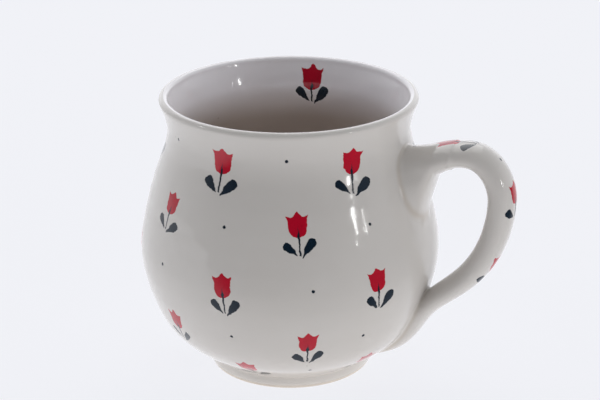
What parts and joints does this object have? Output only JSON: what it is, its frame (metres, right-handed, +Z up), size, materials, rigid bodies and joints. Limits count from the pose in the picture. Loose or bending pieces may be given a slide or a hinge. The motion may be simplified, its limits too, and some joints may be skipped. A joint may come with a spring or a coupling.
{
  "type": "stoneware mug",
  "caption": "Round-bellied glazed stoneware mug with a flared lip, a turned foot ring and a looped strap handle, painted with sprigs of tulips.",
  "frame": {"origin": "on the body's axis of rotation, in the plane that the foot ring rests on", "axes": "+Z up along the body's axis, +X from the axis towards the handle, +Y completes the right-handed frame"},
  "size_m": [0.1272, 0.0998, 0.0942],
  "materials": {
    "clay": "fired stoneware, matt",
    "bare_foot": "wiped and fired stoneware, fine grain",
    "painted_glaze": "glossy transparent glaze over warm off-white, with painted sprigs",
    "lining_glaze": "glossy glaze over warm off-white"
  },
  "bodies": {
    "root": {"body": "clay", "foot_ring": "bare_foot", "handle": "clay", "upper_slip_joint": "clay", "lower_slip_joint": "clay", "outer_glaze": "painted_glaze", "inner_glaze": "lining_glaze", "base_glaze": "lining_glaze", "handle_glaze": "painted_glaze"}
  },
  "joints": []
}
